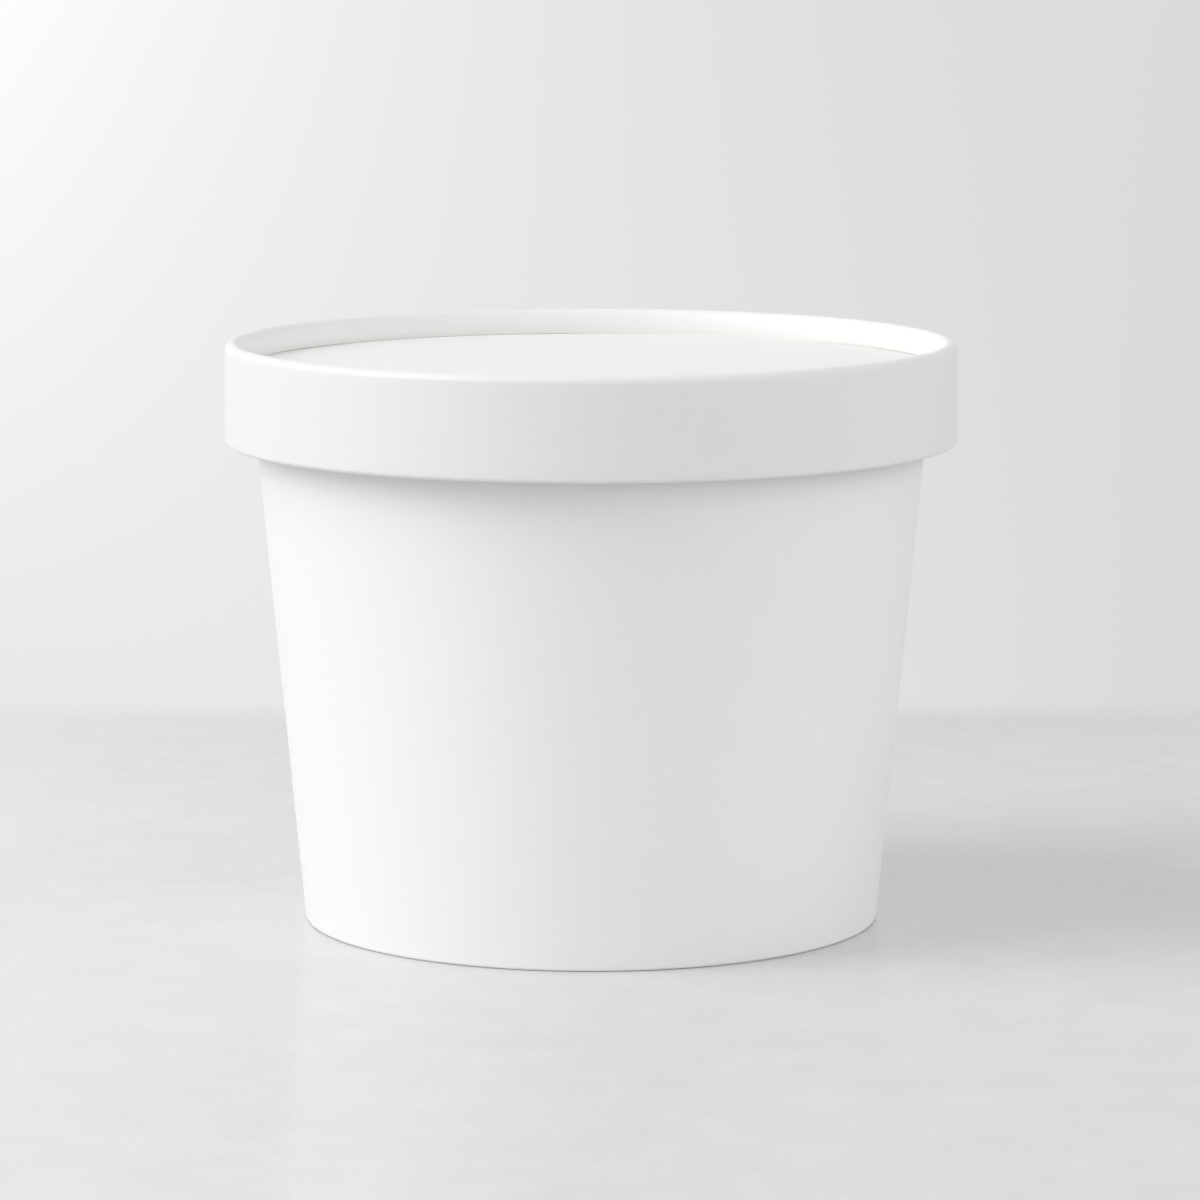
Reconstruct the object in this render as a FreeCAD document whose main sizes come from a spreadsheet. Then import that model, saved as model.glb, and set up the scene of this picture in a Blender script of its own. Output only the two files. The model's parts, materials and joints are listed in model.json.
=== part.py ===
"""Round paperboard food tub, shut with a press-on paperboard lid.

The pack is rolled and folded from coated board. The tub's tapered wall is wrapped round
and glued in an overlap at the back, rolled outwards into a rim bead at the mouth, and
folded inwards at the foot, where it grips the down-turned flange of the base panel. The
lid's band is wrapped the same way, folded inwards over the up-turned flange of the lid
panel, and turned under at its lower edge. The shut tub can't be seen into, so it is solid
above its base panel.

Millimetres, +Z up. The origin is on the axis, in the plane that the foot stands on, and
the glued edge of the tub's side seam is at the back, on the +Y side.
"""
import FreeCAD, Part
import math
import os

import Sketcher

# alias, value, what it is
SIZES = (
    ("tub_height", 75.0, "foot to the top of the rim bead"),
    ("foot_diameter", 78.4, "outside of the standing ring"),
    ("rim_diameter", 98.0, "outside of the rim bead"),
    ("bead_diameter", 3.3, "section of the rolled rim"),
    ("tub_board", 0.45, "thickness of the tub's board"),
    ("foot_round", 0.45, "rounding of the standing ring's two corners"),
    ("base_recess", 6.0, "ground to the underside of the base panel"),
    ("fold_clearance", 0.8, "edge of the foot's inner fold to the base panel"),
    ("base_bend", 0.9, "outer radius where the base panel turns down"),
    ("flange_gap", 0.2, "air below the base panel's flange"),
    ("seam_reach", 12.0, "glued edge to where the outer ply has sunk level"),
    ("seam_sink", 2.0, "degrees that a seam ply runs on below the surface"),
    ("lid_board", 0.5, "thickness of the lid's board"),
    ("lid_clearance", 0.1, "rim bead to the inside of the band, all round"),
    ("band_height", 13.7, "lip to the lower edge of the band"),
    ("band_flare", 0.1, "how far the band opens out at its lower edge"),
    ("lip_width", 2.4, "across the folded lip"),
    ("panel_recess", 3.5, "lip down to the lid panel"),
    ("panel_crease", 0.1, "bevel inside the fold where the lid panel turns up"),
    ("flange_clearance", 0.3, "air above the lid panel's flange, below the turn of the lip"),
    ("hem_width", 1.3, "across the band's turned-under hem"),
    ("hem_height", 2.6, "height of the hem's inner leg"),
    ("lid_turn", 40.0, "degrees from the tub's seam to the lid's seam"),
)

# Relations that several outlines share, as expressions on the sheet.
FOOT_RADIUS = "(Sizes.foot_diameter / 2)"
RIM_RADIUS = "(Sizes.rim_diameter / 2)"
BEAD_RADIUS = "(Sizes.bead_diameter / 2)"
BEAD_CENTRE_X = f"({RIM_RADIUS} - {BEAD_RADIUS})"
NECK_Z = f"(Sizes.tub_height - {BEAD_RADIUS})"
NECK_RADIUS = f"({RIM_RADIUS} - Sizes.bead_diameter + Sizes.tub_board)"
TAPER = f"(({NECK_RADIUS} - {FOOT_RADIUS}) / ({NECK_Z} - Sizes.foot_round))"
MEAN_RADIUS = f"(({NECK_RADIUS} + {FOOT_RADIUS}) / 2)"

BASE_TOP = "(Sizes.base_recess + Sizes.tub_board)"
BASE_BEND_Z = f"({BASE_TOP} - Sizes.base_bend)"
FOLD_TOP = "(Sizes.base_recess - Sizes.fold_clearance)"

PANEL_UNDER = "Sizes.tub_height"
PANEL_TOP = "(Sizes.tub_height + Sizes.lid_board)"
CREST = f"({PANEL_TOP} + Sizes.panel_recess)"
LIP_RADIUS = "(Sizes.lip_width / 2)"
LIP_Z = f"({CREST} - {LIP_RADIUS})"
SKIRT_INSIDE = f"({RIM_RADIUS} + Sizes.lid_clearance)"
SKIRT_OUTSIDE = f"({SKIRT_INSIDE} + Sizes.lid_board)"
FOLD_INSIDE = f"({SKIRT_OUTSIDE} - Sizes.lip_width)"
FOLD_OUTSIDE = f"({FOLD_INSIDE} + Sizes.lid_board)"
FLANGE_OUTSIDE = f"({FOLD_OUTSIDE} + Sizes.lid_board)"
PANEL_BEND = "(Sizes.lid_board + Sizes.panel_crease)"
FOLD_EDGE_Z = f"({PANEL_UNDER} + {PANEL_BEND})"

HEM_RADIUS = "(Sizes.hem_width / 2)"
BAND_BOTTOM = f"({CREST} - Sizes.band_height)"
HEM_Z = f"({BAND_BOTTOM} + {HEM_RADIUS})"
HEM_TOP = f"({BAND_BOTTOM} + Sizes.hem_height)"
HEM_OUTSIDE = f"({SKIRT_OUTSIDE} + Sizes.band_flare)"
HEM_INSIDE = f"({HEM_OUTSIDE} - Sizes.hem_width)"


def wall_radius(height, plies=0):
    """Radius of the tapered wall's outer face at a height, or so many plies inside it."""
    return f"({FOOT_RADIUS} + {TAPER} * ({height} - Sizes.foot_round) - {plies} * Sizes.tub_board)"


def to(x, y):
    """Stop of an outline, reached by a straight line."""
    return {"x": x, "y": y, "centre": None, "left": True}


def turn(x, y, centre_x, centre_y, left):
    """Stop of an outline, reached by an arc that turns left or right about a centre."""
    return {"x": x, "y": y, "centre": (centre_x, centre_y), "left": left}


def make_sheet(doc):
    """Put the driving sizes into the spreadsheet, each under its own alias."""
    sheet = doc.addObject("Spreadsheet::Sheet", "Sizes")
    for row, (alias, value, meaning) in enumerate(SIZES, start=1):
        sheet.set(f"A{row}", alias)
        sheet.set(f"B{row}", str(value))
        sheet.setAlias(f"B{row}", alias)
        sheet.set(f"C{row}", meaning)
    doc.recompute()
    return sheet


def make_body(doc, label):
    """Body of one sub-part. Its label names its file."""
    body = doc.addObject("PartDesign::Body", label)
    body.Label = label
    return body


def make_sketch(body, name, plane):
    """Sketch on one of the body's own origin planes."""
    sketch = body.newObject("Sketcher::SketchObject", name)
    support = [face for face in body.Origin.OriginFeatures if face.Role == plane]
    sketch.AttachmentSupport = (support[0], [""])
    sketch.MapMode = "FlatFace"
    return sketch


def bind(sketch, kind, geometry, point, expression):
    """Constrain one number of the sketch and bind it to an expression on the sheet."""
    value = float(sketch.evalExpression(expression))
    picked = (geometry,) if point is None else (geometry, point)
    index = sketch.addConstraint(Sketcher.Constraint(kind, *picked, value))
    sketch.setExpression(f"Constraints[{index}]", expression)


def pin(sketch, geometry, point, x, y):
    """Fix a point of the sketch. A coordinate of "0" puts it on that axis."""
    for kind, axis, expression in (("DistanceX", -2, x), ("DistanceY", -1, y)):
        if expression == "0":
            sketch.addConstraint(Sketcher.Constraint("PointOnObject", geometry, point, axis))
        else:
            bind(sketch, kind, geometry, point, expression)


def draw_arc(sketch, start, stop, centre, left):
    """Add an arc and return its index and which of its two ends comes first."""
    angles = [math.atan2(p[1] - centre[1], p[0] - centre[0]) for p in (start, stop)]
    radius = math.hypot(start[0] - centre[0], start[1] - centre[1])
    first, last = angles if left else reversed(angles)
    circle = Part.Circle(FreeCAD.Vector(*centre, 0), FreeCAD.Vector(0, 0, 1), radius)
    index = sketch.addGeometry(Part.ArcOfCircle(circle, first, last))
    return index, (1, 2) if left else (2, 1)


def draw_outline(sketch, stops):
    """Close an outline through its stops, each pinned by the expressions it was given.

    An arc between two pinned stops has one freedom left, which one coordinate of its
    centre takes away: the one across the line that joins its stops.
    """
    places = [tuple(float(sketch.evalExpression(stop[key])) for key in ("x", "y")) for stop in stops]
    edges = []
    for number, stop in enumerate(stops):
        start, end = places[number - 1], places[number]
        if stop["centre"] is None:
            line = Part.LineSegment(FreeCAD.Vector(*start, 0), FreeCAD.Vector(*end, 0))
            edges.append((sketch.addGeometry(line), (1, 2)))
            continue
        centre = tuple(float(sketch.evalExpression(part)) for part in stop["centre"])
        edges.append(draw_arc(sketch, start, end, centre, stop["left"]))
        flat = abs(end[0] - start[0]) > abs(end[1] - start[1])
        kind, part = ("DistanceY", 1) if flat else ("DistanceX", 0)
        bind(sketch, kind, edges[-1][0], 3, stop["centre"][part])
    for number, stop in enumerate(stops):
        edge, ends = edges[number]
        following, next_ends = edges[(number + 1) % len(edges)]
        sketch.addConstraint(
            Sketcher.Constraint("Coincident", edge, ends[1], following, next_ends[0]))
        pin(sketch, edge, ends[1], stop["x"], stop["y"])


def revolve(body, name, sketch, cut=False, axis="V_Axis", angle=None):
    """Turn a sketch about an axis, a whole turn unless an angle is given."""
    feature = body.newObject("PartDesign::Groove" if cut else "PartDesign::Revolution", name)
    feature.Profile = sketch
    feature.ReferenceAxis = (sketch, [axis])
    if angle is None:
        feature.Angle = 360
    else:
        feature.setExpression("Angle", angle)
    return feature


def add_seam_ply(body, name, outline, radius, board):
    """Outer ply of a glued overlap, on a body whose surface has the given radius.

    The outline shows the ply at its glued edge, one board proud of the surface. It turns
    about an axis set off from the middle towards that edge, so that it sinks evenly and
    is level with the surface again one seam_reach away.
    """
    reach = f"(Sizes.seam_reach / {radius} * 1 rad)"
    offset = (f"({board} * (2 * {radius} + {board})"
              f" / (2 * ({radius} * (1 - cos({reach})) + {board})))")
    level = f"atan2({radius} * sin({reach}); {radius} * cos({reach}) - {offset})"
    sketch = make_sketch(body, f"{name}Outline", "YZ_Plane")
    draw_outline(sketch, outline)
    centre = float(sketch.evalExpression(offset))
    pivot = sketch.addGeometry(
        Part.LineSegment(FreeCAD.Vector(centre, 0, 0), FreeCAD.Vector(centre, 1, 0)), True)
    pin(sketch, pivot, 1, offset, "0")
    sketch.addConstraint(Sketcher.Constraint("Vertical", pivot))
    bind(sketch, "DistanceY", pivot, 2, board)
    return revolve(body, name, sketch, axis="Axis0", angle=f"{level} + Sizes.seam_sink * 1 deg")


def make_tub(doc):
    """Tapered tub, rolled at the rim and folded in at the foot, solid above its base."""
    body = make_body(doc, "tub")

    wall = make_sketch(body, "WallOutline", "XZ_Plane")
    draw_outline(wall, [
        to("0", "0"),
        to(f"{FOOT_RADIUS} - Sizes.foot_round", "0"),
        turn(FOOT_RADIUS, "Sizes.foot_round",
             f"{FOOT_RADIUS} - Sizes.foot_round", "Sizes.foot_round", left=True),
        to(NECK_RADIUS, NECK_Z),
        to(BEAD_CENTRE_X, "Sizes.tub_height"),
        to("0", "Sizes.tub_height"),
    ])
    revolve(body, "Wall", wall)

    bead = make_sketch(body, "RimOutline", "XZ_Plane")
    centre = FreeCAD.Vector(*(float(bead.evalExpression(part)) for part in (BEAD_CENTRE_X, NECK_Z)), 0)
    radius = float(bead.evalExpression(BEAD_RADIUS))
    ring = bead.addGeometry(Part.Circle(centre, FreeCAD.Vector(0, 0, 1), radius))
    pin(bead, ring, 3, BEAD_CENTRE_X, NECK_Z)
    bind(bead, "Radius", ring, None, BEAD_RADIUS)
    revolve(body, "RimBead", bead)

    ply_foot = f"{FOOT_RADIUS} + Sizes.tub_board"
    add_seam_ply(body, "SideSeam", [
        to(f"{ply_foot} - Sizes.bead_diameter", "0"),
        to(f"{ply_foot} - Sizes.foot_round", "0"),
        turn(ply_foot, "Sizes.foot_round",
             f"{ply_foot} - Sizes.foot_round", "Sizes.foot_round", left=True),
        to(f"{NECK_RADIUS} + Sizes.tub_board", NECK_Z),
        to(f"{NECK_RADIUS} + Sizes.tub_board - Sizes.bead_diameter", NECK_Z),
    ], MEAN_RADIUS, "Sizes.tub_board")

    foot = make_sketch(body, "FootHollowOutline", "XZ_Plane")
    ring_inside = f"({FOOT_RADIUS} - 3 * Sizes.tub_board)"
    bend_x = wall_radius(BASE_BEND_Z, 1)
    draw_outline(foot, [
        to("0", "0"),
        to(f"{ring_inside} + Sizes.foot_round", "0"),
        turn(ring_inside, "Sizes.foot_round",
             f"{ring_inside} + Sizes.foot_round", "Sizes.foot_round", left=False),
        to(wall_radius(FOLD_TOP, 3), FOLD_TOP),
        to(wall_radius(FOLD_TOP, 2), FOLD_TOP),
        to(wall_radius("Sizes.tub_board", 2), "Sizes.tub_board"),
        to(wall_radius("Sizes.tub_board", 1), "Sizes.tub_board"),
        to(bend_x, BASE_BEND_Z),
        turn(f"{bend_x} - Sizes.base_bend", BASE_TOP,
             f"{bend_x} - Sizes.base_bend", BASE_BEND_Z, left=True),
        to("0", BASE_TOP),
    ])
    revolve(body, "FootHollow", foot, cut=True)
    return body


def make_base_panel(doc):
    """Raised base disc whose flange turns down into the fold of the foot."""
    body = make_body(doc, "base_panel")
    sketch = make_sketch(body, "BaseOutline", "XZ_Plane")
    bend_x = f"({wall_radius(BASE_BEND_Z, 1)} - Sizes.base_bend)"
    flange_end = "(Sizes.tub_board + Sizes.flange_gap)"
    draw_outline(sketch, [
        to("0", "Sizes.base_recess"),
        to(bend_x, "Sizes.base_recess"),
        turn(wall_radius(BASE_BEND_Z, 2), BASE_BEND_Z, bend_x, BASE_BEND_Z, left=False),
        to(wall_radius(flange_end, 2), flange_end),
        to(wall_radius(flange_end, 1), flange_end),
        to(wall_radius(BASE_BEND_Z, 1), BASE_BEND_Z),
        turn(bend_x, BASE_TOP, bend_x, BASE_BEND_Z, left=True),
        to("0", BASE_TOP),
    ])
    revolve(body, "Base", sketch)
    return body


def make_lid_panel(doc):
    """Lid disc that rests on the rim bead, with its flange turned up inside the lip.

    The board is creased before it is turned, so the inside of the fold is a narrow bevel.
    """
    body = make_body(doc, "lid_panel")
    sketch = make_sketch(body, "PanelOutline", "XZ_Plane")
    bend_x = f"({FLANGE_OUTSIDE} - {PANEL_BEND})"
    flange_top = f"({LIP_Z} - Sizes.flange_clearance)"
    draw_outline(sketch, [
        to("0", PANEL_UNDER),
        to(bend_x, PANEL_UNDER),
        turn(FLANGE_OUTSIDE, FOLD_EDGE_Z, bend_x, FOLD_EDGE_Z, left=True),
        to(FLANGE_OUTSIDE, flange_top),
        to(FOLD_OUTSIDE, flange_top),
        to(FOLD_OUTSIDE, FOLD_EDGE_Z),
        to(bend_x, PANEL_TOP),
        to("0", PANEL_TOP),
    ])
    revolve(body, "Panel", sketch)
    return body


def make_lid_band(doc):
    """Band of the lid: skirt, lip folded inwards over the panel's flange, and hem.

    Where the lip and the hem are turned, the glued overlap is pressed level.
    """
    body = make_body(doc, "lid_band")
    lip_x = f"({SKIRT_OUTSIDE} - {LIP_RADIUS})"
    hem_x = f"({HEM_OUTSIDE} - {HEM_RADIUS})"
    clear_x = f"({FOLD_INSIDE} - Sizes.lip_width)"
    clear_z = f"({BAND_BOTTOM} - Sizes.hem_width)"

    form = make_sketch(body, "BandOutline", "XZ_Plane")
    draw_outline(form, [
        to(clear_x, LIP_Z),
        to(FOLD_INSIDE, LIP_Z),
        turn(SKIRT_OUTSIDE, LIP_Z, lip_x, LIP_Z, left=False),
        to(HEM_OUTSIDE, HEM_Z),
        turn(HEM_INSIDE, HEM_Z, hem_x, HEM_Z, left=False),
        to(clear_x, HEM_Z),
    ])
    revolve(body, "Band", form)

    add_seam_ply(body, "BandSeam", [
        to(lip_x, LIP_Z),
        to(SKIRT_OUTSIDE, LIP_Z),
        to(f"{SKIRT_OUTSIDE} + Sizes.lid_board", f"{LIP_Z} - Sizes.lid_board"),
        to(f"{HEM_OUTSIDE} + Sizes.lid_board", f"{HEM_Z} + Sizes.lid_board"),
        to(HEM_OUTSIDE, HEM_Z),
        to(hem_x, HEM_Z),
    ], SKIRT_OUTSIDE, "Sizes.lid_board")

    hollow = make_sketch(body, "BandHollowOutline", "XZ_Plane")
    skirt_foot = f"({HEM_OUTSIDE} - Sizes.lid_board)"
    leg_outside = f"({HEM_INSIDE} + Sizes.lid_board)"
    draw_outline(hollow, [
        to(clear_x, clear_z),
        to(HEM_INSIDE, clear_z),
        to(HEM_INSIDE, HEM_TOP),
        to(leg_outside, HEM_TOP),
        to(leg_outside, f"{BAND_BOTTOM} + Sizes.lid_board"),
        to(skirt_foot, f"{BAND_BOTTOM} + Sizes.lid_board"),
        to(SKIRT_INSIDE, LIP_Z),
        turn(FOLD_OUTSIDE, LIP_Z, lip_x, LIP_Z, left=True),
        to(FOLD_OUTSIDE, FOLD_EDGE_Z),
        to(FOLD_INSIDE, FOLD_EDGE_Z),
        to(FOLD_INSIDE, LIP_Z),
        to(clear_x, LIP_Z),
    ])
    revolve(body, "BandHollow", hollow, cut=True)

    body.Placement = FreeCAD.Placement(
        FreeCAD.Vector(0, 0, 0), FreeCAD.Rotation(FreeCAD.Vector(0, 0, 1), 1))
    body.setExpression(".Placement.Rotation.Angle", "Sizes.lid_turn * 1 deg")
    return body


def check(doc, bodies):
    """Stop on a failed object, or on a sub-part with no single valid solid."""
    for item in doc.Objects:
        failed = {"Invalid", "Error"} & set(item.State)
        if failed:
            raise RuntimeError(f"{item.Name} is {', '.join(sorted(failed))}")
        if item.TypeId == "Sketcher::SketchObject" and not item.FullyConstrained:
            raise RuntimeError(f"{item.Name} isn't fully constrained")
    for body in bodies:
        shape = body.Shape
        if shape.isNull() or not shape.isValid() or len(shape.Solids) != 1:
            raise RuntimeError(f"{body.Label} isn't one valid solid")


def main():
    """Build the pack and write one STEP file for each sub-part."""
    doc = FreeCAD.newDocument("PaperFoodTub")
    make_sheet(doc)
    bodies = [make(doc) for make in (make_tub, make_base_panel, make_lid_panel, make_lid_band)]
    doc.recompute()
    check(doc, bodies)
    os.makedirs("parts", exist_ok=True)
    for body in bodies:
        body.Shape.exportStep(os.path.join("parts", f"{body.Label}.step"))
        print(f"{body.Label}: {body.Shape.Volume:.1f} mm3, {len(body.Shape.Faces)} faces")


main()
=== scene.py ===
"""Round paperboard food tub, shut with its press-on lid: its boards, finishes, light and view.

Every piece of board is a section, drawn as radius and height, that is wrapped round the
upright axis from its glued edge. Metres, +Z up, with the tub standing on the origin and
the glued edges of its seams at the back. Overall places come from the frame.
"""
import json
import logging
import math
from dataclasses import dataclass, field
from enum import Enum

import bpy
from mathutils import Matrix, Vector

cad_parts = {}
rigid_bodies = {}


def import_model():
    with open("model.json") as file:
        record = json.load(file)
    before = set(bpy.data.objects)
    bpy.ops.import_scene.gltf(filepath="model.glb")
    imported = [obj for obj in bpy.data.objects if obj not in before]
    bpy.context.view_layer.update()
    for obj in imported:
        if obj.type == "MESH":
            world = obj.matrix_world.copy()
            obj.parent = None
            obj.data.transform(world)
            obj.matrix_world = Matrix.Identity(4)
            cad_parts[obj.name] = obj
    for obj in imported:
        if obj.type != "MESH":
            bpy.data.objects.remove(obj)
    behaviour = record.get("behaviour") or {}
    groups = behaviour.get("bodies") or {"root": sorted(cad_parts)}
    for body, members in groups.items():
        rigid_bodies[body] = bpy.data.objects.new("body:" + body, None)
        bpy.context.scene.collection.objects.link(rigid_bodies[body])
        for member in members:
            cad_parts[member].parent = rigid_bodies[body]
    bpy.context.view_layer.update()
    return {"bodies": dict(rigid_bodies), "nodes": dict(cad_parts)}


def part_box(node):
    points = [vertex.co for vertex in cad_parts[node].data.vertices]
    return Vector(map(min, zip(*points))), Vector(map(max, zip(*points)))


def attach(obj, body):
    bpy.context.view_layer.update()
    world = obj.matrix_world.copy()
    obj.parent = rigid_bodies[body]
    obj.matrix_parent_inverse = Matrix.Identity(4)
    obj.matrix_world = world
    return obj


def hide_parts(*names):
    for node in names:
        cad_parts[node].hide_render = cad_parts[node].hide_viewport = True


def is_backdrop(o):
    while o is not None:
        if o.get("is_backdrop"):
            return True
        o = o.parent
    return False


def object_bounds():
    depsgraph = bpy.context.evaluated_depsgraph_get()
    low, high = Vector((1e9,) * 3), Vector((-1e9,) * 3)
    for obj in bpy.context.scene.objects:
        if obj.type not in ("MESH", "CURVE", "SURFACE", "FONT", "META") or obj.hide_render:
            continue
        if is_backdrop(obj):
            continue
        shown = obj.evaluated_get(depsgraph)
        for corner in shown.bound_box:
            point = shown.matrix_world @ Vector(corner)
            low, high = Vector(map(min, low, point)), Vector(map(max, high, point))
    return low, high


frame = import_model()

Colour = tuple[float, float, float]

LOG = logging.getLogger("food_tub")
BODY = "root"
WHITE: Colour = (1.0, 1.0, 1.0)
WHOLE_TURN = 2 * math.pi
NOISE_MIDDLE = 0.5


# ---------------------------------------------------------------- node trees


class Value:
    """Socket that Python's operators work on: each adds its Math node."""

    def __init__(self, net: "Net", socket: bpy.types.NodeSocket) -> None:
        """Wrap an output socket of a tree."""
        self.net = net
        self.socket = socket

    def math(self, operation: str, *others: "Value | float") -> "Value":
        """Add a Math node that starts from this value.

        Args:
            operation: The Math node's operation.
            others: The node's further values.

        Returns:
            The node's result.
        """
        return self.net.math(operation, self, *others)

    def __add__(self, other: "Value | float") -> "Value":
        """Return this value plus another."""
        return self.net.math("ADD", self, other)

    def __radd__(self, other: float) -> "Value":
        """Return a number plus this value."""
        return self.net.math("ADD", other, self)

    def __sub__(self, other: "Value | float") -> "Value":
        """Return this value minus another."""
        return self.net.math("SUBTRACT", self, other)

    def __rsub__(self, other: float) -> "Value":
        """Return a number minus this value."""
        return self.net.math("SUBTRACT", other, self)

    def __mul__(self, other: "Value | float") -> "Value":
        """Return this value times another."""
        return self.net.math("MULTIPLY", self, other)

    def __rmul__(self, other: float) -> "Value":
        """Return a number times this value."""
        return self.net.math("MULTIPLY", other, self)

    def __truediv__(self, other: "Value | float") -> "Value":
        """Return this value over another."""
        return self.net.math("DIVIDE", self, other)

    def __mod__(self, other: "Value | float") -> "Value":
        """Return what is left of this value after whole shares of another."""
        return self.net.math("MODULO", self, other)

    def __gt__(self, other: "Value | float") -> "Value":
        """Return 1 where this value is above another, and 0 elsewhere."""
        return self.net.math("GREATER_THAN", self, other)

    def scaled(self, by: "Value | float") -> "Value":
        """Return this vector or colour times a number."""
        inputs = {0: self, "Scale": by}
        return self.net.add("ShaderNodeVectorMath", inputs, operation="SCALE")["Vector"]

    def times(self, by: Colour) -> "Value":
        """Return this vector or colour times another, part by part."""
        inputs = {0: self, 1: by}
        return self.net.add("ShaderNodeVectorMath", inputs, operation="MULTIPLY")["Vector"]


class Node:
    """Node of a tree, whose outputs are read by name."""

    def __init__(self, net: "Net", node: bpy.types.Node) -> None:
        """Wrap a node of a tree."""
        self.net = net
        self.node = node

    def __getitem__(self, name: str) -> Value:
        """Return the output of that name that is in use."""
        found = [s for s in self.node.outputs if s.name == name and s.enabled]
        return Value(self.net, found[0])


class Net:
    """Node tree that is built by calls, for shapes and finishes alike."""

    NODES_IN_ROW = 12
    NODE_WIDTH = 180
    NODE_HEIGHT = 220

    def __init__(self, tree: bpy.types.NodeTree) -> None:
        """Start on a tree, which is emptied.

        Args:
            tree: The tree of a shape, a material or the world.
        """
        self.tree = tree
        self.tree.nodes.clear()
        self.entry: bpy.types.Node | None = None

    def add(self, kind: str, inputs: dict[str | int, object] | None = None,
            **settings: object) -> Node:
        """Add a node: its settings first, then its sockets.

        Args:
            kind: The node's type.
            inputs: A value or a link for each socket, by name or by number.
            settings: The node's own properties.

        Returns:
            The node.
        """
        node = self.tree.nodes.new(kind)
        row, column = divmod(len(self.tree.nodes), self.NODES_IN_ROW)
        node.location = (column * self.NODE_WIDTH, -row * self.NODE_HEIGHT)
        for name, value in settings.items():
            setattr(node, name, value)
        for key, value in (inputs or {}).items():
            if isinstance(key, int):
                socket = node.inputs[key]
            else:
                socket = next(s for s in node.inputs if s.name == key and s.enabled)
            if isinstance(value, Value):
                self.tree.links.new(value.socket, socket)
            else:
                socket.default_value = value
        return Node(self, node)

    def math(self, operation: str, *values: "Value | float") -> Value:
        """Return the result of a Math node on up to three values."""
        return self.add("ShaderNodeMath", dict(enumerate(values)), operation=operation)["Value"]

    def vector(self, x: "Value | float", y: "Value | float", z: "Value | float") -> Value:
        """Return the vector of three values."""
        return self.add("ShaderNodeCombineXYZ", {"X": x, "Y": y, "Z": z})["Vector"]

    def takes(self, name: str, kind: str) -> Value:
        """Give the tree a named input.

        Args:
            name: The input's name.
            kind: The type of its socket.

        Returns:
            What the input brings.
        """
        self.tree.interface.new_socket(name=name, in_out="INPUT", socket_type=kind)
        if self.entry is None:
            self.entry = self.tree.nodes.new("NodeGroupInput")
        return Value(self, self.entry.outputs[name])

    def gives(self, shape: Value, finish: Value) -> None:
        """End the tree: realize what it made and give it its finish.

        Args:
            shape: The geometry that was made.
            finish: The material that it gets.
        """
        self.tree.interface.new_socket(
            name="Geometry", in_out="OUTPUT", socket_type="NodeSocketGeometry")
        real = self.add("GeometryNodeRealizeInstances", {"Geometry": shape})["Geometry"]
        inputs = {"Geometry": real, "Material": finish}
        dressed = self.add("GeometryNodeSetMaterial", inputs)["Geometry"]
        self.add("NodeGroupOutput", {"Geometry": dressed})


def soften(net: Net, shape: Value, limit: float) -> Value:
    """Shade a shape smooth, with its edges sharp where it turns by more than a limit.

    Args:
        net: The tree that the shape is in.
        shape: The geometry.
        limit: The turn in radians past which an edge stays sharp.

    Returns:
        The same geometry, with its shading set.
    """
    turned = net.add("GeometryNodeInputMeshEdgeAngle")["Unsigned Angle"]
    smooth = net.add("GeometryNodeSetShadeSmooth", {"Geometry": shape, "Shade Smooth": True},
                     domain="FACE")["Geometry"]
    inputs = {"Geometry": smooth, "Selection": turned > limit, "Shade Smooth": False}
    return net.add("GeometryNodeSetShadeSmooth", inputs, domain="EDGE")["Geometry"]


def run_tree(name: str, carrier: bpy.types.Mesh, tree: bpy.types.NodeTree,
             values: dict[str, object]) -> bpy.types.Object:
    """Run a geometry tree once and keep what it makes as a plain mesh.

    Args:
        name: The name of the piece.
        carrier: The mesh that the tree starts from.
        tree: The geometry tree.
        values: A value for each of the tree's named inputs but its geometry.

    Returns:
        The piece, at the origin and with no modifier.
    """
    piece = bpy.data.objects.new(name, carrier)
    bpy.context.scene.collection.objects.link(piece)
    modifier = piece.modifiers.new(tree.name, "NODES")
    modifier.node_group = tree
    for item in tree.interface.items_tree:
        if item.in_out == "INPUT" and item.name in values:
            modifier[item.identifier] = values[item.name]
    graph = bpy.context.evaluated_depsgraph_get()
    made = bpy.data.meshes.new_from_object(
        piece.evaluated_get(graph), preserve_all_data_layers=True, depsgraph=graph)
    piece.modifiers.remove(modifier)
    piece.data = made
    made.name = name
    bpy.data.meshes.remove(carrier)
    return piece


# ---------------------------------------------------------------- finishes


class Grain(Enum):
    """What the board's fibres follow."""

    WRAPPED = "the board's own run round the axis"
    FLAT = "a flat sheet"


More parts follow.
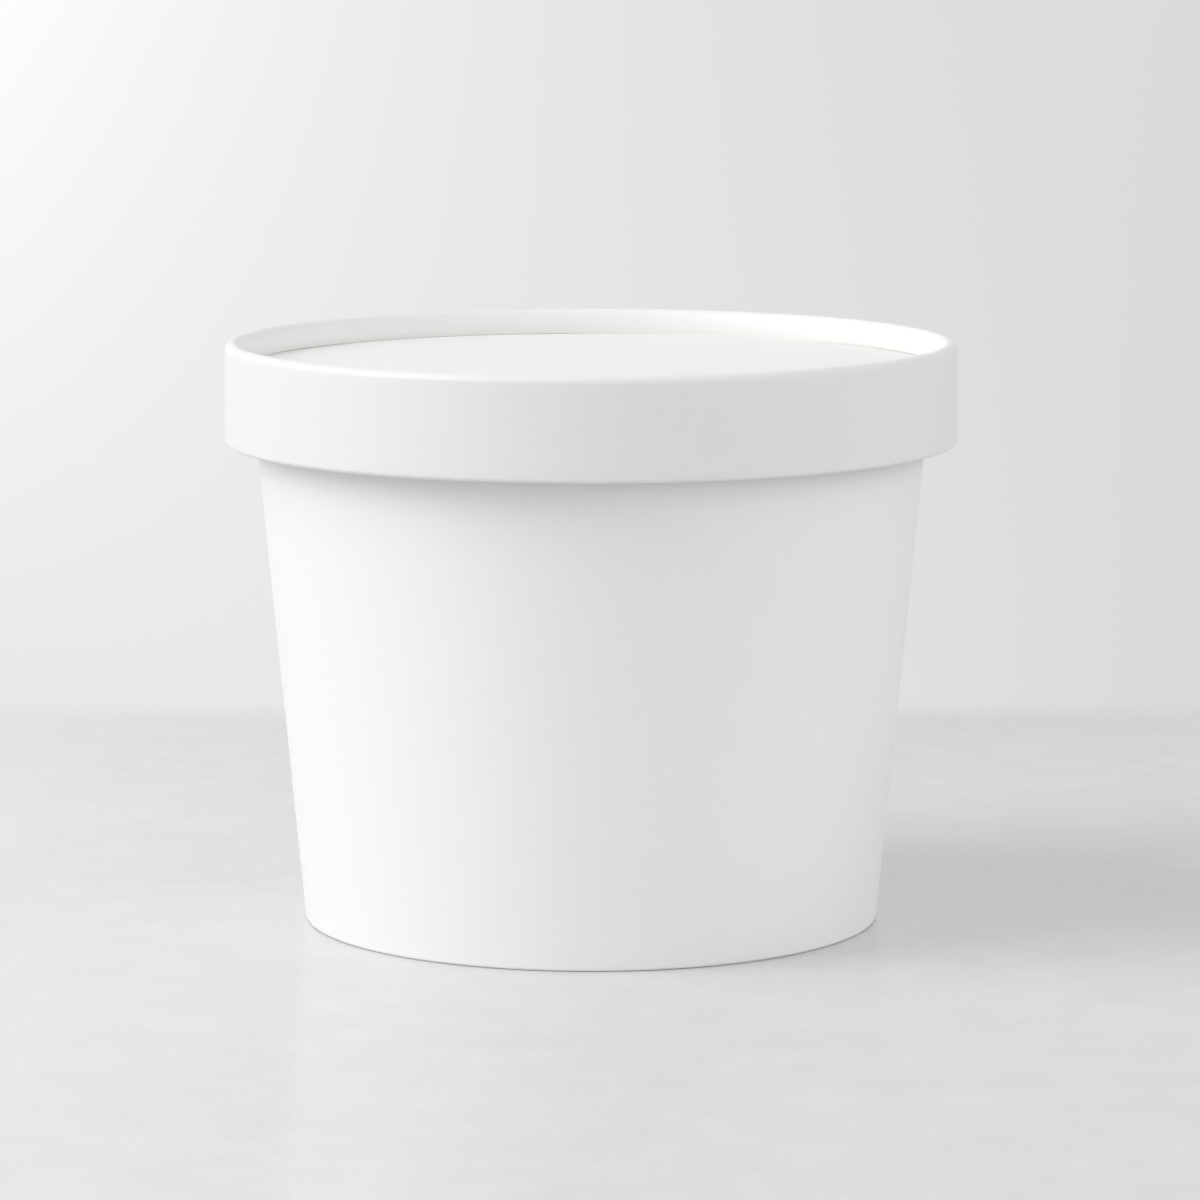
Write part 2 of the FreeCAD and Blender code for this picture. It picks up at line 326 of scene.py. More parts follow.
@dataclass(frozen=True)
class BoardFinish:
    """White paperboard with a satin coated face and an uncoated core at its cut edges.

    Pitches and depths are in metres, and a draw is how much denser a pattern lies across
    the board than round it: under 1, it is drawn out. A point's share of pleats and painted
    light mixes the face toward a lighter tone, which is painted light, and presses in pleats,
    the fine creases of turned board. A share of the core's warm tone shows the real core at
    raw edges and paints shade near the lid's crease.
    is turned, and pleats are the fine creases that it gets there.
    """

    name: str
    face: Colour = (0.80, 0.80, 0.795)
    # Painted light: the lighter tone below is mixed in by a point's share of painted light.
    painted_light_tone: Colour = (0.80, 0.80, 0.795)
    # The core's warm tone: the real core at raw edges, and painted shade near the lid's crease.
    core: Colour = (0.70, 0.63, 0.54)
    grain: Grain = Grain.WRAPPED
    gloss_roughness: float = 0.46
    coat_weight: float = 0.12
    coat_roughness: float = 0.30
    fibre_pitch: float = 0.00035
    fibre_draw: float = 0.4
    fibre_depth: float = 0.000003
    fibre_dulling: float = 0.10
    cockle_pitch: float = 0.009
    cockle_depth: float = 0.00003
    mottle_pitch: float = 0.0022
    mottle_share: float = 0.014
    fleck_pitch: float = 0.0011
    fleck_draw: float = 0.5
    fleck_above: float = 0.74
    fleck_share: float = 0.012
    pleat_pitch: float = 0.0011
    pleat_draw: float = 0.12
    pleat_depth: float = 0.00002
    cut_cover: float = 0.75
    cut_fuzz: float = 6.0
    cut_dulling: float = 0.35

    def noise(self, net: Net, run: Value, pitch: float, draw: float = 1.0,
              detail: float = 2.0) -> Value:
        """Return an even noise between 0 and 1.

        Args:
            net: The material's tree.
            run: The coordinates that it follows.
            pitch: The size of its grains, in metres.
            draw: How much denser it lies along the second coordinate.
            detail: How many finer layers it has.

        Returns:
            The noise.
        """
        inputs = {"Vector": run.times((1.0, draw, 1.0)), "Scale": 1 / pitch, "Detail": detail}
        return net.add("ShaderNodeTexNoise", inputs, noise_dimensions="3D")["Fac"]

    def blend(self, net: Net, share: Value, first: "Value | tuple", second: tuple) -> Value:
        """Return a mix of two colours, of which the share is the second's."""
        inputs = {"Factor": share, "A": first, "B": second}
        return net.add("ShaderNodeMix", inputs, data_type="RGBA")["Result"]

    def make(self) -> bpy.types.Material:
        """Build the finish.

        Returns:
            The material.
        """
        material = bpy.data.materials.new(self.name)
        material.use_nodes = True
        net = Net(material.node_tree)
        if self.grain is Grain.WRAPPED:
            run = net.add("ShaderNodeUVMap", uv_map="board")["UV"]
        else:
            run = net.add("ShaderNodeTexCoord")["Object"]
        # Share of the core's warm tone: the real core at raw edges, painted shade near the lid's
        # crease.
        core_and_crease_shade = net.add("ShaderNodeAttribute", attribute_name="core_and_crease_shade")["Fac"]
        # Share of pleats and of the lighter painted tone, which is painted light.
        pleats_and_painted_light = net.add("ShaderNodeAttribute", attribute_name="pleats_and_painted_light")["Fac"]

        fibres = self.noise(net, run, self.fibre_pitch, self.fibre_draw, detail=3)
        mottle = self.noise(net, run, self.mottle_pitch)
        cockle = self.noise(net, run, self.cockle_pitch, detail=1)
        pleats = self.noise(net, run, self.pleat_pitch, self.pleat_draw, detail=1)
        specks = self.noise(net, run, self.fleck_pitch, self.fleck_draw, detail=0)
        flecks = (specks > self.fleck_above) * self.fleck_share

        shade = 1 + self.mottle_share * (mottle - NOISE_MIDDLE) - flecks * fibres
        # Painted light: the face is mixed toward the lighter tone by that share.
        face_with_painted_light = self.blend(net, pleats_and_painted_light, (*self.face, 1), (*self.painted_light_tone, 1))
        core_and_shade_share = core_and_crease_shade * (self.cut_cover + (1 - self.cut_cover) * mottle)
        coloured = self.blend(net, core_and_shade_share, face_with_painted_light, (*self.core, 1))
        height = (fibres * self.fibre_depth * (1 + self.cut_fuzz * core_and_crease_shade)
                  + cockle * self.cockle_depth
                  + pleats * pleats_and_painted_light * self.pleat_depth)
        roughness = (self.gloss_roughness + self.fibre_dulling * (fibres - NOISE_MIDDLE)
                     + self.cut_dulling * core_and_crease_shade)
        bump = net.add("ShaderNodeBump", {"Height": height, "Distance": 1.0, "Strength": 1.0})
        shader = net.add("ShaderNodeBsdfPrincipled", {
            "Base Color": coloured.scaled(shade),
            "Roughness": roughness,
            "Coat Weight": self.coat_weight * (1 - core_and_crease_shade),
            "Coat Roughness": self.coat_roughness,
            "Normal": bump["Normal"],
        })
        net.add("ShaderNodeOutputMaterial", {"Surface": shader["BSDF"]}, target="ALL")
        return material


# ---------------------------------------------------------------- sections of board


# The longest stretches of a flat face that shows, and of one that doesn't.
SEEN_STEP = 0.004
HIDDEN_STEP = 0.01


@dataclass
class Section:
    """Outline of a board's section, with the board on its left as it runs.

    Each point has its place as radius and height, whether the outer ply of a glued
    overlap stands proud there, and its share of pleats and of a lighter painted tone, which
    is painted light. Each stretch between two points has its share of the core's warm tone:
    the real core at a raw edge, and painted shade near the lid's crease. Steps are the
    longest stretches: metres on a straight run, and degrees on a turn.
    """

    LINE_STEP = 0.003
    ARC_STEP = 12
    FEWEST_ARC_STEPS = 3

    places: list[tuple[float, float]]
    laps: list[float] = field(default_factory=lambda: [0.0])
    pleat_and_painted_light_shares: list[float] = field(default_factory=lambda: [0.0])
    core_and_crease_shades: list[float] = field(default_factory=list)

    def line(self, radius: float, height: float, step: float = LINE_STEP, lap: float = 0.0,
             pleats_and_painted_light: float = 0.0, core_and_crease_shade: float = 0.0) -> "Section":
        """Run straight to a place.

        Args:
            radius: Distance of the place from the axis.
            height: Height of the place.
            step: The longest stretch that the run is cut into.
            lap: Whether the glued ply stands proud along the run, from 0 to 1.
            pleats_and_painted_light: Share of pleats and of the lighter painted tone (painted
                light) where the run ends, from 0 to 1.
            core_and_crease_shade: Share of the core's warm tone along the run, from 0 to 1: 1 at
                a raw edge, where the core shows, and less for painted shade near the lid's
                crease.

        Returns:
            The section itself, so that runs can be chained.
        """
        start, flat = self.places[-1], self.pleat_and_painted_light_shares[-1]
        count = max(1, math.ceil(math.dist(start, (radius, height)) / step))
        for number in range(1, count + 1):
            share = number / count
            self.places.append((start[0] + (radius - start[0]) * share,
                                start[1] + (height - start[1]) * share))
            self.laps.append(lap)
            self.pleat_and_painted_light_shares.append(flat + (pleats_and_painted_light - flat) * share)
            self.core_and_crease_shades.append(core_and_crease_shade)
        return self

    def arc(self, centre: tuple[float, float], sweep: float, lap: float = 0.0,
            pleats_and_painted_light: float = 1.0, rise: float = 1.0) -> "Section":
        """Turn about a centre.

        Args:
            centre: Radius and height of the centre.
            sweep: Angle of the turn in degrees, positive to the left.
            lap: Whether the glued ply stands proud along the turn, from 0 to 1.
            pleats_and_painted_light: Share of pleats and of the lighter painted tone (painted
                light) where the turn ends, from 0 to 1.
            rise: How many times as tall as wide the turn is.

        Returns:
            The section itself.
        """
        start, flat = self.places[-1], self.pleat_and_painted_light_shares[-1]
        aside, above = start[0] - centre[0], (start[1] - centre[1]) / rise
        radius = math.hypot(aside, above)
        first = math.atan2(above, aside)
        count = max(self.FEWEST_ARC_STEPS, round(abs(sweep) / self.ARC_STEP))
        for number in range(1, count + 1):
            angle = first + math.radians(sweep) * number / count
            self.places.append((centre[0] + radius * math.cos(angle),
                                centre[1] + radius * rise * math.sin(angle)))
            self.laps.append(lap)
            self.pleat_and_painted_light_shares.append(flat + (pleats_and_painted_light - flat) * number / count)
            self.core_and_crease_shades.append(0.0)
        return self

    def mesh(self, name: str) -> bpy.types.Mesh:
        """Draw the section as a chain of edges.

        Args:
            name: The name of the mesh.

        Returns:
            The mesh, with the section's facts as its attributes.
        """
        made = bpy.data.meshes.new(name)
        places = [(radius, 0, height) for radius, height in self.places]
        made.from_pydata(places, [(n, n + 1) for n in range(len(places) - 1)], [])
        for key, domain, values in (("lap", "POINT", self.laps), ("pleats_and_painted_light", "POINT", self.pleat_and_painted_light_shares),
                                    ("core_and_crease_shade", "EDGE", self.core_and_crease_shades)):
            made.attributes.new(key, "FLOAT", domain).data.foreach_set("value", values)
        runs = [0.0]
        for start, end in zip(self.places, self.places[1:]):
            runs.append(runs[-1] + math.dist(start, end))
        made.attributes.new("along", "FLOAT", "POINT").data.foreach_set("value", runs)
        return made


# The drift is a noise on a ring of radius 1, which rises by so much for each metre of the
# piece. The waves are a noise on the piece itself.
DRIFT_SCALE = 1.1
DRIFT_UPWARD = 20
WAVE_SCALE = 28.0
WELD_WITHIN = 0.000001
BOARD_EDGE_TURN = math.radians(38)


def make_wrap_tree() -> bpy.types.NodeTree:
    """Build the tree that wraps a section round the axis.

    The wrap starts and ends at the glued edge. There the outer ply stands one board
    proud, and it sinks level with the rest as it is followed round. The strip that
    closes the wrap is the ply's raw edge. The circle drifts a little from true, and a
    flat face waves a little. A half keeps a whole number from being rounded down to the
    one before it.

    Returns:
        The geometry tree.
    """
    net = Net(bpy.data.node_groups.new("Wrap board round the axis", "GeometryNodeTree"))
    section = net.takes("Section", "NodeSocketGeometry")
    segments = net.takes("Segments", "NodeSocketInt")
    seam = net.takes("Seam Angle", "NodeSocketFloat")
    ply = net.takes("Ply", "NodeSocketFloat")
    reach = net.takes("Reach", "NodeSocketFloat")
    girth = net.takes("Girth Radius", "NodeSocketFloat")
    uneven = net.takes("Unevenness", "NodeSocketFloat")
    warp = net.takes("Warp", "NodeSocketFloat")
    seed = net.takes("Seed", "NodeSocketFloat")
    finish = net.takes("Finish", "NodeSocketMaterial")

    def sampled(name: str, domain: str, at: Value) -> Value:
        """Read one of the section's attributes.

        Args:
            name: The attribute's name.
            domain: POINT for the section's points, or EDGE for its stretches.
            at: The number of the point or stretch.

        Returns:
            The attribute's value there.
        """
        wanted = net.add("GeometryNodeInputNamedAttribute", {"Name": name}, data_type="FLOAT")
        inputs = {"Geometry": section, "Value": wanted["Attribute"], "Index": at}
        return net.add("GeometryNodeSampleIndex", inputs, data_type="FLOAT",
                       domain=domain)["Value"]

    rows = net.add("GeometryNodeAttributeDomainSize", {"Geometry": section},
                   component="MESH")["Point Count"]
    grid = net.add("GeometryNodeMeshGrid",
                   {"Vertices X": segments + 2, "Vertices Y": rows})["Mesh"]
    index = net.add("GeometryNodeInputIndex")["Index"]
    column = ((index + 0.5) / rows).math("FLOOR")
    row = index - column * rows
    strip = ((index + 0.5) / (rows - 1)).math("FLOOR")
    stretch = index - strip * (rows - 1)

    position = net.add("GeometryNodeInputPosition")["Position"]
    place = net.add("GeometryNodeSampleIndex",
                    {"Geometry": section, "Value": position, "Index": row},
                    data_type="FLOAT_VECTOR", domain="POINT")["Value"]
    parts = net.add("ShaderNodeSeparateXYZ", {"Vector": place})
    around = (column % (segments + 1)) / segments * WHOLE_TURN
    angle = around + seam
    sunk = net.add("ShaderNodeMapRange", {
        "Value": around * parts["X"], "From Min": 0.0, "From Max": reach,
        "To Min": 1.0, "To Max": 0.0}, interpolation_type="SMOOTHSTEP")["Result"]
    proud = ply * sunk * sampled("lap", "POINT", row)

    ring = net.vector(angle.math("COSINE"), angle.math("SINE"), parts["Z"] * DRIFT_UPWARD)
    drift = net.add("ShaderNodeTexNoise",
                    {"Vector": ring, "W": seed, "Scale": DRIFT_SCALE, "Detail": 1.0},
                    noise_dimensions="4D")["Fac"]
    radius = (parts["X"] + proud) * (1 - uneven * drift)
    x, y = radius * angle.math("COSINE"), radius * angle.math("SINE")
    waves = net.add("ShaderNodeTexNoise",
                    {"Vector": net.vector(x, y, 0.0), "W": seed, "Scale": WAVE_SCALE,
                     "Detail": 1.0},
                    noise_dimensions="4D")["Fac"]
    spot = net.vector(x, y, parts["Z"] + warp * (waves - NOISE_MIDDLE))

    on_board = net.vector(around * girth, sampled("along", "POINT", row), 0.0)
    on_board = net.add("GeometryNodeFieldOnDomain", {"Value": on_board},
                       data_type="FLOAT_VECTOR", domain="POINT")["Value"]
    shape = net.add("GeometryNodeStoreNamedAttribute",
                    {"Geometry": grid, "Name": "board", "Value": on_board},
                    data_type="FLOAT2", domain="CORNER")["Geometry"]
    core_and_crease_shade = sampled("core_and_crease_shade", "EDGE", stretch).math("MAXIMUM", strip > segments - 0.5)
    shape = net.add("GeometryNodeStoreNamedAttribute",
                    {"Geometry": shape, "Name": "core_and_crease_shade", "Value": core_and_crease_shade},
                    data_type="FLOAT", domain="FACE")["Geometry"]
    shape = net.add("GeometryNodeStoreNamedAttribute",
                    {"Geometry": shape, "Name": "pleats_and_painted_light", "Value": sampled("pleats_and_painted_light", "POINT", row)},
                    data_type="FLOAT", domain="POINT")["Geometry"]
    shape = net.add("GeometryNodeSetPosition", {"Geometry": shape, "Position": spot})["Geometry"]
    shape = net.add("GeometryNodeMergeByDistance",
                    {"Geometry": shape, "Distance": WELD_WITHIN})["Geometry"]
    net.gives(soften(net, shape, BOARD_EDGE_TURN), finish)
    return net.tree


RIB_SIDES = 10
RIB_BANDS = 6
RIB_LEAST_SHARE = 0.75
RIB_EDGE_TURN = math.radians(60)


def make_rib_tree() -> bpy.types.NodeTree:
    """Build the tree that presses a ring of ribs into the inside of a folded foot.

    Each rib is a long half-sunk bead, and no two are quite as deep or as long.

    Returns:
        The geometry tree.
    """
    net = Net(bpy.data.node_groups.new("Pressed ribs in a ring", "GeometryNodeTree"))
    count = net.takes("Ribs", "NodeSocketInt")
    radius = net.takes("Radius", "NodeSocketFloat")
    height = net.takes("Height", "NodeSocketFloat")
    length = net.takes("Length", "NodeSocketFloat")
    width = net.takes("Width", "NodeSocketFloat")
    depth = net.takes("Depth", "NodeSocketFloat")
    lean = net.takes("Lean", "NodeSocketFloat")
    seed = net.takes("Seed", "NodeSocketInt")
    finish = net.takes("Finish", "NodeSocketMaterial")

    bead = net.add("GeometryNodeMeshUVSphere",
                   {"Segments": RIB_SIDES, "Rings": RIB_BANDS, "Radius": 1.0})["Mesh"]
    size = net.vector(depth, width / 2, length / 2)
    rib = net.add("GeometryNodeTransform", {"Geometry": bead, "Scale": size})["Geometry"]
    ring = net.add("GeometryNodeMeshCircle", {"Vertices": count, "Radius": radius})["Mesh"]
    ring = net.add("GeometryNodeTransform",
                   {"Geometry": ring, "Translation": net.vector(0.0, 0.0, height)})["Geometry"]
    index = net.add("GeometryNodeInputIndex")["Index"]
    facing = net.vector(0.0, lean, index / count * WHOLE_TURN)
    uneven = net.add("FunctionNodeRandomValue",
                     {"Min": RIB_LEAST_SHARE, "Max": 1.0, "Seed": seed},
                     data_type="FLOAT")["Value"]
    inputs = {"Points": ring, "Instance": rib, "Rotation": facing,
              "Scale": net.vector(uneven, 1.0, uneven)}
    ribs = net.add("GeometryNodeInstanceOnPoints", inputs)["Instances"]
    real = net.add("GeometryNodeRealizeInstances", {"Geometry": ribs})["Geometry"]
    net.gives(soften(net, real, RIB_EDGE_TURN), finish)
    return net.tree


@dataclass
class Board:
    """How one board is trimmed and wrapped: what every wrapped piece has in common.

    The glued edge lies at the seam's angle, in degrees, and the outer ply sinks level
    within the seam's reach. Unevenness is the most that the circle is drawn in, as a share.
    """

    thickness: float
    seam_angle: float
    seam_reach: float = 0.012
    segments: int = 288
    unevenness: float = 0.0022
    seed: float = 4.0

    def wrap(self, name: str, section: Section, tree: bpy.types.NodeTree,
             finish: bpy.types.Material, warp: float = 0.0) -> bpy.types.Object:
        """Make a piece of this board.

        Args:
            name: The name of the piece.
            section: Its section.
            tree: The tree that wraps it.
            finish: Its material.
            warp: How far its flat face leaves the flat, in metres.

        Returns:
            The piece.
        """
        return run_tree(name, section.mesh(name), tree, {
            "Segments": self.segments,
            "Seam Angle": math.radians(self.seam_angle),
            "Ply": self.thickness,
            "Reach": self.seam_reach,
            "Girth Radius": max(radius for radius, _ in section.places),
            "Unevenness": self.unevenness,
            "Warp": warp,
            "Seed": self.seed,
            "Finish": finish,
        })


# ---------------------------------------------------------------- the tub


@dataclass
class Tub:
    """Tapered tub: its wall, rolled at the rim and folded in at the foot, and its base.

    The shut tub can't be seen into, so it is closed at the height of its rim. Its wall is
    painted lighter at the foot and less and less up the wall, which is painted light that
    makes it whiter toward the foot.
    """

    board: Board = field(default_factory=lambda: Board(thickness=0.00045, seam_angle=90))
    foot_radius: float = 0.0392
    foot_round: float = 0.00045
    bead_radius: float = 0.00165
    base_bend: float = 0.0009
    fold_clearance: float = 0.0008
    flange_gap: float = 0.0002
    cut_bevel: float = 0.0001
    rib_count: int = 132
    rib_length: float = 0.0032
    rib_width: float = 0.0010
    rib_depth: float = 0.00012
    rib_seed: int = 7
    # Share of painted light at the top of the rim bead.
    bead_painted_light: float = 0.6
    wall_step: float = 0.0025
    cover_step: float = 0.012
    base_warp: float = 0.0003
    # The tub's lighter tone is painted light: whiter toward the foot and atop the bead.
    finish: BoardFinish = BoardFinish(
        "tub board", face=(0.785, 0.785, 0.78), painted_light_tone=(0.85, 0.85, 0.845), pleat_depth=0.0)
    base_finish: BoardFinish = BoardFinish(
        "base board", face=(0.78, 0.775, 0.765), grain=Grain.FLAT)

    def __post_init__(self) -> None:
        """Take the places that the frame gives, and work out those that follow."""
        self.rim_radius: float = max(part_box("tub")[1][:2])
        self.height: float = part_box("tub")[1].z
        self.base_top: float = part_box("base_panel")[1].z
        self.neck_height: float = self.height - self.bead_radius
        self.neck_radius: float = self.rim_radius - 2 * self.bead_radius + self.board.thickness
        self.taper: float = ((self.neck_radius - self.foot_radius)
                             / (self.neck_height - self.foot_round))
        self.bend_height: float = self.base_top - self.base_bend
        self.bend: tuple[float, float] = (
            self.wall(self.bend_height, 1)[0] - self.base_bend, self.bend_height)
        self.fold_top: float = self.base_top - self.board.thickness - self.fold_clearance

    def wall(self, height: float, plies: int = 0) -> tuple[float, float]:
        """Return the place on the wall's outer face, or so many plies inside it."""
        radius = self.foot_radius + self.taper * (height - self.foot_round)
        return radius - plies * self.board.thickness, height

    def bead_meets_wall(self) -> float:
        """Find where the wall runs into the rim bead.

        Returns:
            The angle round the bead, in radians.
        """
        slope = math.atan(self.taper)
        aside = (self.rim_radius - self.bead_radius - self.neck_radius) * math.cos(slope)
        down = math.sqrt(self.bead_radius ** 2 - aside ** 2)
        return math.atan2(aside * math.sin(slope) - down * math.cos(slope),
                          -aside * math.cos(slope) - down * math.sin(slope))

    def shell_section(self) -> Section:
        """Draw the tub's section, from the middle of its base round to its rim.

        Returns:
            The section.
        """
        board, edge = self.board.thickness, self.foot_round
        ring = self.foot_radius - 3 * board
        centre = (self.rim_radius - self.bead_radius, self.neck_height)
        start = self.bead_meets_wall()
        meeting = (centre[0] + self.bead_radius * math.cos(start),
                   centre[1] + self.bead_radius * math.sin(start))
        fold_face = self.wall(self.fold_top - self.cut_bevel, 3)
        fold_inside, fold_outside = self.wall(self.fold_top, 3), self.wall(self.fold_top, 2)
        return (
            Section([(0.0, self.base_top)])
            .line(self.bend[0], self.base_top, step=HIDDEN_STEP)
            .arc(self.bend, -90)
            .line(*self.wall(board, 1))
            .line(*self.wall(board, 2))
            .line(*fold_outside)
            .line(fold_inside[0] + self.cut_bevel, self.fold_top, core_and_crease_shade=1.0)
            .line(*fold_face, core_and_crease_shade=1.0)
            .line(ring, edge)
            .arc((ring + edge, edge), 90)
            # Painted light: the foot and its turn take the full lighter tone, which fades up the
            # wall.
            .line(self.foot_radius - edge, 0.0, pleats_and_painted_light=1.0)
            .line(self.foot_radius - edge, 0.0, lap=1.0, pleats_and_painted_light=1.0)
            .arc((self.foot_radius - edge, edge), 90, lap=1.0)
            .line(*self.wall(meeting[1] - 2 * board), step=self.wall_step, lap=1.0)
            .line(*meeting)
            # Painted light: the rim bead is painted lighter toward its top.
            .arc(centre, 90 - math.degrees(start), pleats_and_painted_light=self.bead_painted_light)
            .line(0.0, self.height, step=self.cover_step)
        )

    def base_section(self) -> Section:
        """Draw the base panel's section: a disc whose flange turns down into the folded foot.

        Returns:
            The section.
        """
        board = self.board.thickness
        flange_end = board + self.flange_gap
        return (
            Section([(0.0, self.base_top - board)])
            .line(self.bend[0], self.base_top - board, step=SEEN_STEP)
            .arc(self.bend, -90)
            .line(*self.wall(flange_end, 2))
            .line(*self.wall(flange_end, 1), core_and_crease_shade=1.0)
            .line(*self.wall(self.bend_height, 1))
            .arc(self.bend, 90)
            .line(0.0, self.base_top, step=HIDDEN_STEP)
        )

    def build(self, wrap_tree: bpy.types.NodeTree) -> list[bpy.types.Object]:
        """Build and dress the tub.

        Args:
            wrap_tree: The tree that wraps a section.

        Returns:
            The tub's pieces.
        """
        shell = self.board.wrap("tub_shell", self.shell_section(), wrap_tree, self.finish.make())
        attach(shell, BODY)
        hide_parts("tub")

        base_material = self.base_finish.make()
        base = self.board.wrap("base_disc", self.base_section(), wrap_tree, base_material,
                               self.base_warp)
        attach(base, BODY)
        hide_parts("base_panel")

        # The ribs carry no run round the axis, so they take the base's finish.
        middle = (self.foot_round + self.fold_top) / 2
        ribs = run_tree("foot_ribs", bpy.data.meshes.new("foot_ribs"), make_rib_tree(), {
            "Ribs": self.rib_count,
            "Radius": self.wall(middle, 3)[0],
            "Height": middle,
            "Length": self.rib_length,
            "Width": self.rib_width,
            "Depth": self.rib_depth,
            "Lean": math.atan(self.taper),
            "Seed": self.rib_seed,
            "Finish": base_material,
        })
        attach(ribs, BODY)
        return [shell, base, ribs]


# ---------------------------------------------------------------- the lid


@dataclass
class Lid:
    """Press-on lid: a deep band, folded over the flange of a panel set below its lip.

    The lip turns tightly on its outside and eases down to the panel on its inside, where
    the edge of the folded strip presses on the creased board of the panel. Toward that edge
    the strip's face is painted more and more in the core's warm tone: painted crease shade.
    """

    board: Board = field(default_factory=lambda: Board(thickness=0.0005, seam_angle=130))
    band_flare: float = 0.0001
    lip_width: float = 0.0024
    lip_round: float = 0.0011
    fold_upright: float = 0.0009
    fold_press: float = 0.00001
    # Height and shares of the painted crease shade: the core's warm tone laid on the inner wall
    # just above the panel.
    crease_shade_height: float = 0.0008
    crease_shade_shares: tuple[float, float, float] = (0.12, 0.24, 0.5)
    # Share of painted light at the lip's crest.
    lip_painted_light: float = 0.25
    skirt_step: float = 0.0011
    hem_radius: float = 0.00055
    hem_height: float = 0.0026
    panel_crease: float = 0.0001
    panel_warp: float = 0.0003
    cut_bevel: float = 0.00006
    # The band's skirt is painted a darker grey than the tub: painted shade. Its lip and inner
    # wall take the lighter tone: painted light.
    band_finish: BoardFinish = BoardFinish(
        "band board", face=(0.725, 0.726, 0.724), painted_light_tone=(0.80, 0.80, 0.795))
    panel_finish: BoardFinish = BoardFinish("panel board", grain=Grain.FLAT)

    def __post_init__(self) -> None:
        """Take the places that the frame gives, and work out those that follow."""
        low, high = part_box("lid_band")
        self.crest: float = high.z
        self.bottom: float = low.z
        self.hem_outside: float = max(high[:2])
        self.skirt_outside: float = self.hem_outside - self.band_flare
        self.panel_under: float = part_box("lid_panel")[0].z
        self.panel_top: float = self.panel_under + self.board.thickness
        self.panel_bend: float = self.board.thickness + self.panel_crease
        self.fold_inside: float = self.skirt_outside - self.lip_width
        self.fold_edge: float = self.panel_top - self.fold_press
        self.fold_top: float = self.panel_top + self.fold_upright

    def band_section(self) -> Section:
        """Draw the band's section: folded strip, lip, skirt and hem.

        Returns:
            The section.
        """
        board, bevel = self.board.thickness, self.cut_bevel
        crest = self.skirt_outside - self.lip_round
        lip = (crest, self.crest - self.lip_round)
        ease = (crest, self.fold_top)
        rise = (self.crest - self.fold_top) / (crest - self.fold_inside)
        rise_within = (self.crest - board - self.fold_top) / (crest - board - self.fold_inside)
        hem = (self.hem_outside - self.hem_radius, self.bottom + self.hem_radius)
        leg = self.hem_outside - 2 * self.hem_radius
        hem_top = self.bottom + self.hem_height
        under = self.bottom + board
        crease_shade_faint, crease_shade_middle, crease_shade_deep = self.crease_shade_shares
        return (
            Section([(self.fold_inside + bevel, self.fold_edge)])
            .line(self.fold_inside + board, self.fold_edge, core_and_crease_shade=1.0)
            .line(self.fold_inside + board, self.fold_top)
            .arc(ease, -90, rise=rise_within)
            .arc(lip, -90)
            .line(self.hem_outside - board, under)
            .line(leg + board, under)
            .line(leg + board, hem_top)
            .line(leg, hem_top, core_and_crease_shade=1.0)
            # Painted light: the hem's leg and its turn are painted lighter, fading toward the
            # outside, to throw more light into the shade under the band.
            .line(leg, hem[1], pleats_and_painted_light=1.0)
            .arc(hem, 180, pleats_and_painted_light=0.0)
            .line(self.hem_outside, hem[1] + board, lap=1.0)
            .line(self.skirt_outside, lip[1] - board, step=self.skirt_step, lap=1.0)
            .line(self.skirt_outside, lip[1])
            # Painted light: the lip is painted lighter from its outside over its crest, and the
            # inner wall down to the crease at full.
            .arc(lip, 90, pleats_and_painted_light=self.lip_painted_light)
            .arc(ease, 90, rise=rise)
            .line(self.fold_inside, self.fold_edge + self.crease_shade_height, pleats_and_painted_light=1.0)
            # Painted crease shade: the lowest stretches of the inner wall take more and more of
            # the core's warm tone toward the panel.
            .line(self.fold_inside, self.fold_edge + self.crease_shade_height / 2, pleats_and_painted_light=1.0, core_and_crease_shade=crease_shade_faint)
            .line(self.fold_inside, self.fold_edge + bevel, pleats_and_painted_light=1.0, core_and_crease_shade=crease_shade_middle)
            .line(self.fold_inside + bevel, self.fold_edge, pleats_and_painted_light=1.0, core_and_crease_shade=crease_shade_deep)
        )

    def panel_section(self) -> Section:
        """Draw the panel's section: a disc creased and turned up inside the lip.

        Returns:
            The section.
        """
        board = self.board.thickness
        flange = self.fold_inside + 2 * board
        bend = (flange - self.panel_bend, self.panel_under + self.panel_bend)
        return (
            Section([(0.0, self.panel_under)])
            .line(bend[0], self.panel_under, step=HIDDEN_STEP)
            .arc(bend, 90)
            .line(flange, self.fold_top)
            .line(flange - board, self.fold_top, core_and_crease_shade=1.0)
            .line(flange - board, bend[1])
            .line(bend[0], self.panel_top, pleats_and_painted_light=1.0)
            .line(0.0, self.panel_top, step=SEEN_STEP)
        )

    def build(self, wrap_tree: bpy.types.NodeTree) -> list[bpy.types.Object]:
        """Build and dress the lid.

        Args:
            wrap_tree: The tree that wraps a section.

        Returns:
            The lid's pieces.
        """
        band = self.board.wrap("lid_band_shell", self.band_section(), wrap_tree,
                               self.band_finish.make())
        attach(band, BODY)
        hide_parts("lid_band")

        panel = self.board.wrap("lid_panel_disc", self.panel_section(), wrap_tree,
                                self.panel_finish.make(), self.panel_warp)
        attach(panel, BODY)
        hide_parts("lid_panel")
        return [band, panel]


# ---------------------------------------------------------------- floor, light and view


